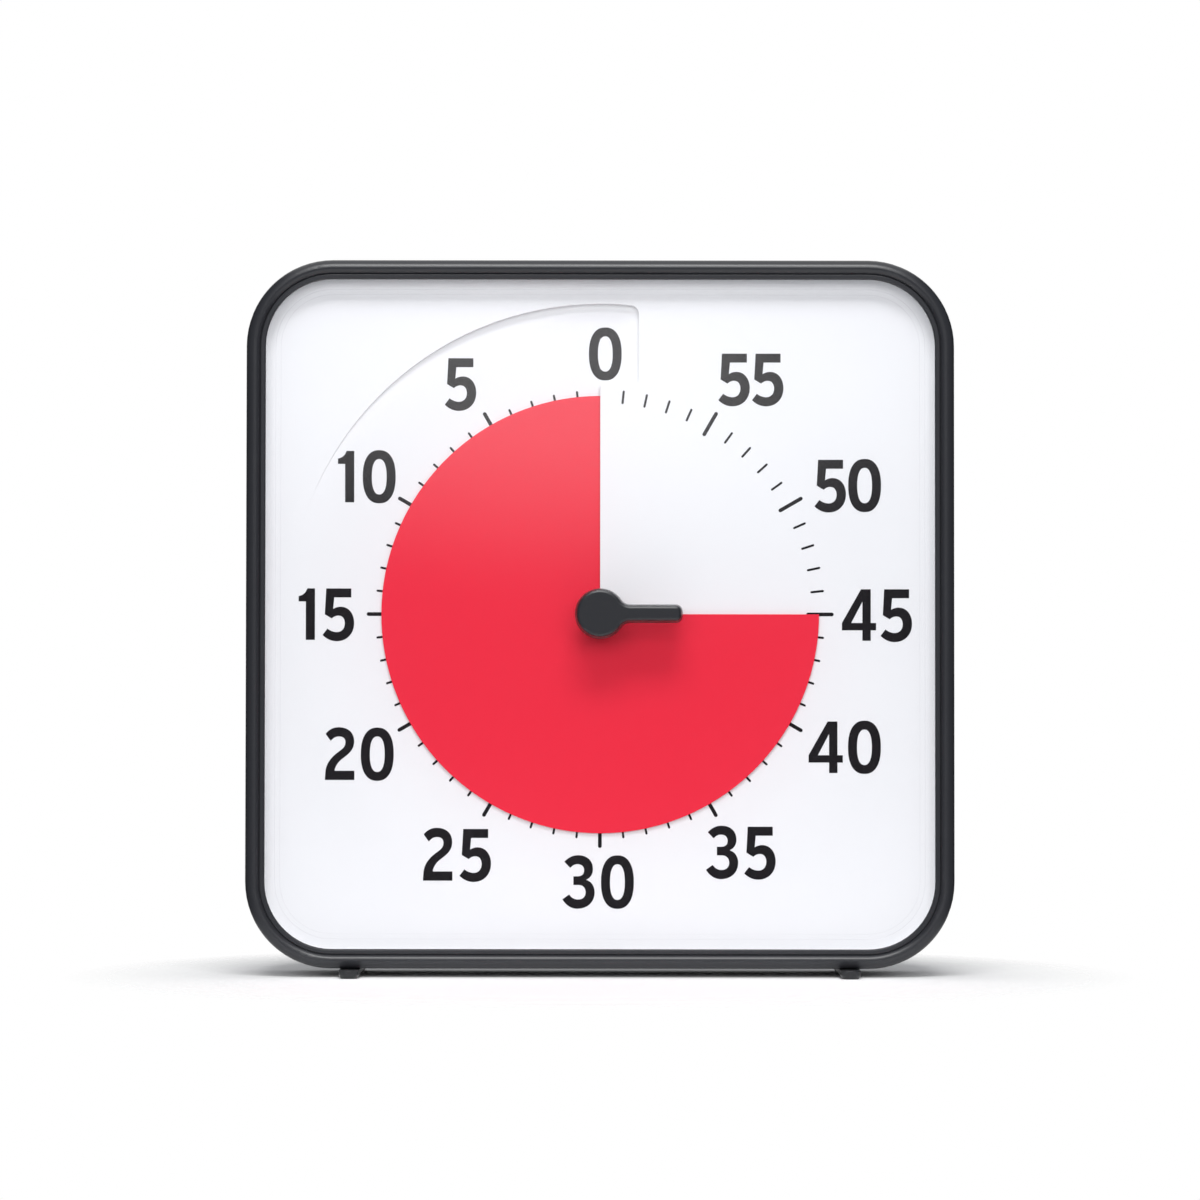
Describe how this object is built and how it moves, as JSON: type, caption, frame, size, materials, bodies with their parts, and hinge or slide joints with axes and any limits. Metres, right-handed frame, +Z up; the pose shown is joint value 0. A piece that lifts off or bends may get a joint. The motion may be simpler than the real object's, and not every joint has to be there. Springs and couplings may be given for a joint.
{
  "type": "visual countdown timer",
  "caption": "Square visual countdown timer: a knob winds a coloured disc out of a slit in the numbered dial behind a clear lens; two swivel feet hold it upright.",
  "frame": {"origin": "under the middle of the timer, on the surface that its feet stand on", "axes": "+X to the viewer's right, +Y from the dial to the back, +Z up"},
  "size_m": [0.1906, 0.0444, 0.193],
  "materials": {
    "black_case": "fine satin moulded ABS",
    "clear_lens": "clear polished acrylic",
    "white_dial": "white moulded polystyrene, satin",
    "red_sheet": "red translucent sheet",
    "knob_grey": "satin moulded ABS",
    "natural_acetal": "natural acetal gears",
    "smoke_shell": "moulded drive shell",
    "steel": "plated steel",
    "brass": "drawn brass",
    "copper_wire": "enamelled copper winding",
    "soft_iron": "soft iron",
    "magnet": "bonded ferrite",
    "board_green": "glass-fibre board",
    "chip_black": "epoxy blob",
    "cell_label": null
  },
  "bodies": {
    "case": {"front_bezel": "black_case", "lens": "clear_lens", "dial_plate": "white_dial", "rear_housing": "black_case", "case_screws": "steel", "drive_screws": "steel", "drive_plate": "smoke_shell", "drive_cover": "smoke_shell", "stator": "soft_iron", "coil_core": "soft_iron", "coil_bobbin": "natural_acetal", "coil_winding": "copper_wire", "circuit_board": "board_green", "timer_chip": "chip_black", "quartz_crystal": "steel", "alarm_contact_leaf": "brass", "buzzer_disc": "brass", "sound_switch_base": "steel", "battery_cell": "cell_label", "negative_spring": "steel", "negative_contact": "steel", "positive_contact": "steel"},
    "hand": {"setting_knob": "knob_grey", "spindle": "steel", "clutch_spring": "steel", "alarm_cam": "natural_acetal"},
    "disc": {"red_disc": "red_sheet", "disc_hub": "natural_acetal"},
    "centre_gear": {"centre_wheel": "natural_acetal"},
    "third_gear": {"third_wheel": "natural_acetal"},
    "fourth_gear": {"fourth_wheel": "natural_acetal"},
    "fifth_gear": {"fifth_wheel": "natural_acetal"},
    "rotor": {"rotor_pinion": "natural_acetal", "rotor_magnet": "magnet"},
    "left_foot": {"foot_left": "black_case", "foot_screw_left": "steel"},
    "right_foot": {"foot_right": "black_case", "foot_screw_right": "steel"},
    "door": {"battery_door": "black_case"},
    "sound_switch": {"sound_switch_cap": "knob_grey"}
  },
  "joints": [
    {"name": "knob_turn", "type": "hinge", "parent": "case", "child": "hand", "pos_m": [0, 0, 0.09765], "axis": [0, -1, 0], "range_deg": [-270, 90]},
    {"name": "disc_float", "type": "slide", "parent": "hand", "child": "disc", "axis": [0, -1, 0], "range_m": [-0.0015, 0.0005]},
    {"name": "centre_spin", "type": "hinge", "parent": "case", "child": "centre_gear", "pos_m": [0, 0.004, 0.09765], "axis": [0, -1, 0], "continuous": true},
    {"name": "third_spin", "type": "hinge", "parent": "case", "child": "third_gear", "pos_m": [0.0063, 0.004, 0.10856], "axis": [0, -1, 0], "continuous": true},
    {"name": "fourth_spin", "type": "hinge", "parent": "case", "child": "fourth_gear", "pos_m": [-0.00548, 0.004, 0.11022], "axis": [0, -1, 0], "continuous": true},
    {"name": "fifth_spin", "type": "hinge", "parent": "case", "child": "fifth_gear", "pos_m": [-0.01286, 0.004, 0.10506], "axis": [0, -1, 0], "continuous": true},
    {"name": "rotor_spin", "type": "hinge", "parent": "case", "child": "rotor", "pos_m": [-0.01576, 0.004, 0.09707], "axis": [0, -1, 0], "continuous": true},
    {"name": "left_foot_swivel", "type": "hinge", "parent": "case", "child": "left_foot", "pos_m": [-0.067, 0, 0.0012], "axis": [0, 0, 1], "range_deg": [0, 90]},
    {"name": "right_foot_swivel", "type": "hinge", "parent": "case", "child": "right_foot", "pos_m": [0.067, 0, 0.0012], "axis": [0, 0, 1], "range_deg": [-90, 0]},
    {"name": "door_lift", "type": "slide", "parent": "case", "child": "door", "axis": [0, 1, 0], "range_m": [0, 0.03]},
    {"name": "sound_slide", "type": "slide", "parent": "case", "child": "sound_switch", "axis": [1, 0, 0], "range_m": [0, 0.003]}
  ],
  "couplings": [
    {"joint": "disc_float", "follows": "knob_turn", "m_per_rad": 0.00031831},
    {"joint": "fifth_spin", "follows": "rotor_spin", "ratio": -0.13333},
    {"joint": "fourth_spin", "follows": "rotor_spin", "ratio": 0.033333},
    {"joint": "third_spin", "follows": "rotor_spin", "ratio": -0.0044444},
    {"joint": "centre_spin", "follows": "rotor_spin", "ratio": 0.00055556}
  ]
}
